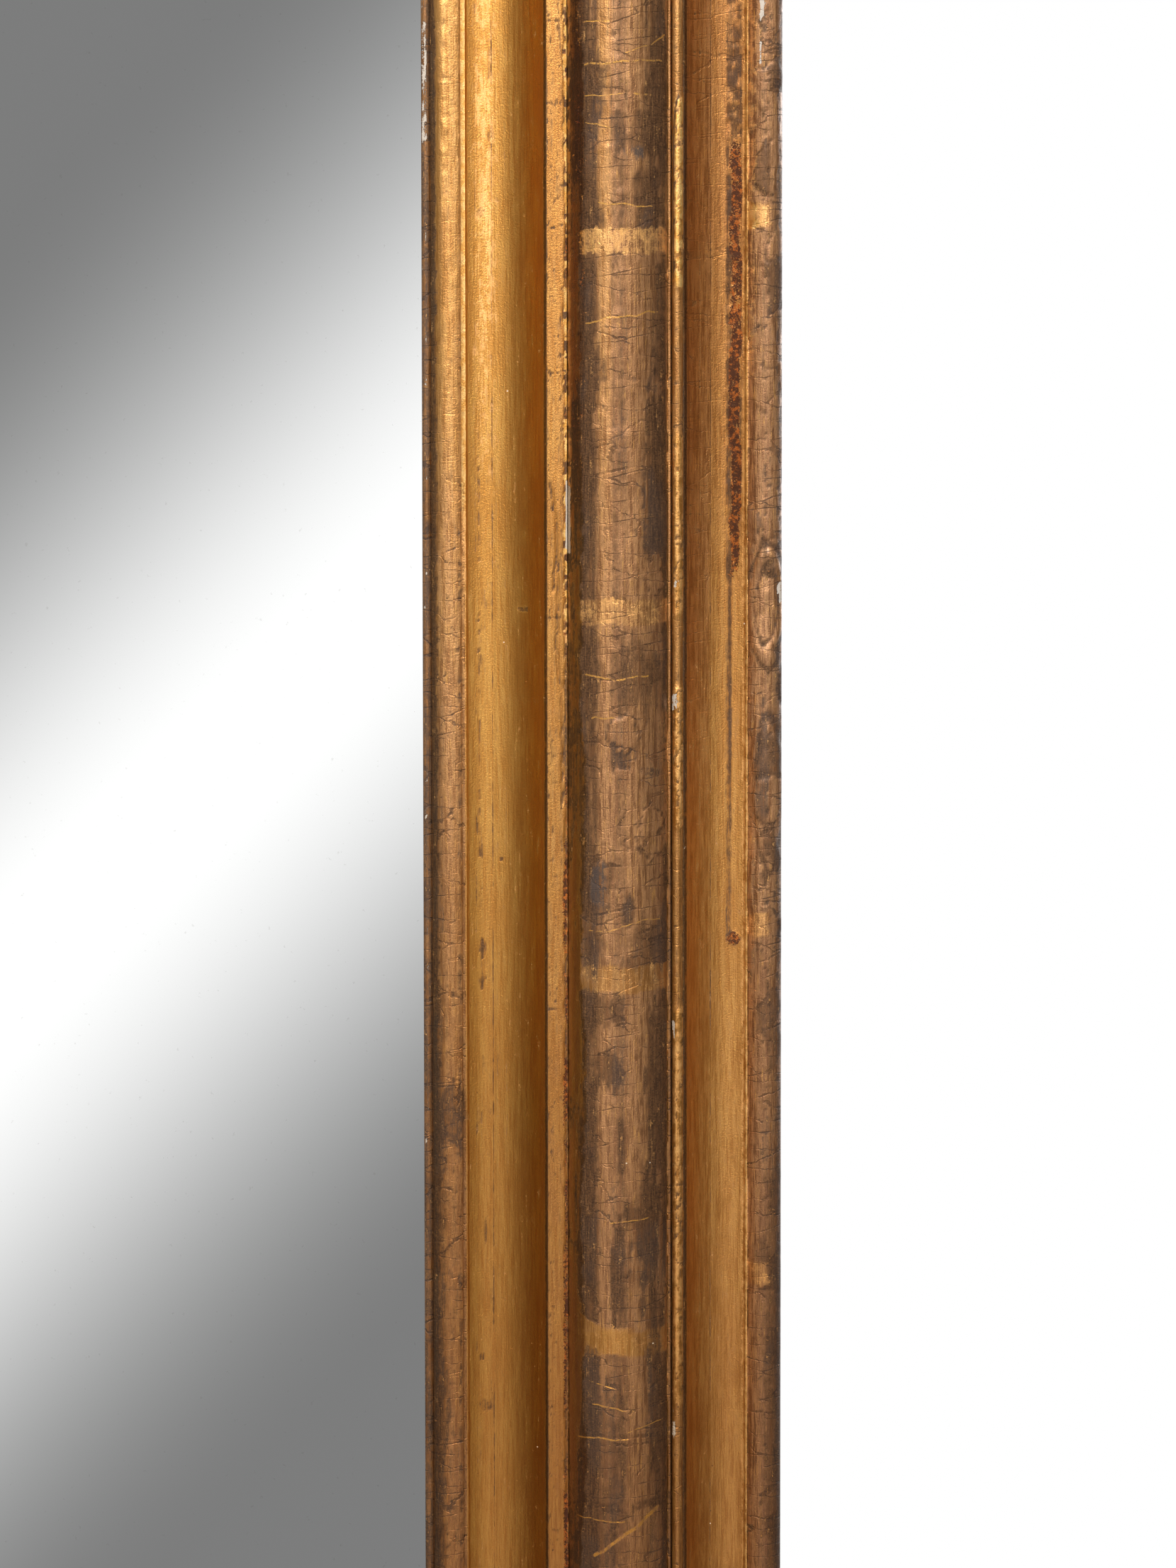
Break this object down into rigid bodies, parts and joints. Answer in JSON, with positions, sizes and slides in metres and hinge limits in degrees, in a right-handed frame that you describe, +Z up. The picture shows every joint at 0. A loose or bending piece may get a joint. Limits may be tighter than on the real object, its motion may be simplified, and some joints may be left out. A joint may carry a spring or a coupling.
{
  "type": "pier mirror",
  "caption": "Tall flat mirror plate in a mitred built-up gilt moulding of beads, hollows and a large half round, on a wooden back frame with nailed boards and two hinged hanging rings.",
  "frame": {"origin": "middle of the bottom of the whole mirror's box, hanging rings included", "axes": "+X to the viewer's right, -Y out of the mirror towards the viewer, +Y to the wall, +Z up"},
  "size_m": [0.86, 0.0664, 1.83],
  "materials": {
    "gilding": "worn water gilding on gesso and red bole, burnished",
    "bronzed_gilding": "worn bronzed gilding with dark patches",
    "silvered_glass": "flat silvered plate glass",
    "pine": "planed bare softwood",
    "old_pine": "rough bare softwood, darkened",
    "iron": "dark forged iron"
  },
  "bodies": {
    "mirror_body": {"carcass_right": "pine", "carcass_top": "pine", "carcass_left": "pine", "carcass_bottom": "pine", "inner_moulding_right": "gilding", "inner_moulding_top": "gilding", "inner_moulding_left": "gilding", "inner_moulding_bottom": "gilding", "torus_moulding_right": "bronzed_gilding", "torus_moulding_top": "bronzed_gilding", "torus_moulding_left": "bronzed_gilding", "torus_moulding_bottom": "bronzed_gilding", "outer_moulding_right": "gilding", "outer_moulding_top": "gilding", "outer_moulding_left": "gilding", "outer_moulding_bottom": "gilding", "corner_pegs": "old_pine", "mirror_plate": "silvered_glass", "plate_shims": "old_pine", "glass_blocks": "pine", "backboard_1": "old_pine", "backboard_2": "old_pine", "backboard_3": "old_pine", "backboard_4": "old_pine", "backboard_5": "old_pine", "backboard_6": "old_pine", "backboard_7": "old_pine", "backboard_8": "old_pine", "backboard_9": "old_pine", "backboard_nails": "iron", "hanger_strap_right": "iron", "hanger_strap_left": "iron", "hanger_screws": "iron"},
    "ring_right": {"hanger_ring_right": "iron"},
    "ring_left": {"hanger_ring_left": "iron"}
  },
  "joints": [
    {"name": "ring_right_hinge", "type": "hinge", "parent": "mirror_body", "child": "ring_right", "pos_m": [0.4019, 0.02917, 1.48], "axis": [1, 0, 0], "range_deg": [0, 180]},
    {"name": "ring_left_hinge", "type": "hinge", "parent": "mirror_body", "child": "ring_left", "pos_m": [-0.4019, 0.02917, 1.48], "axis": [1, 0, 0], "range_deg": [0, 180]}
  ]
}
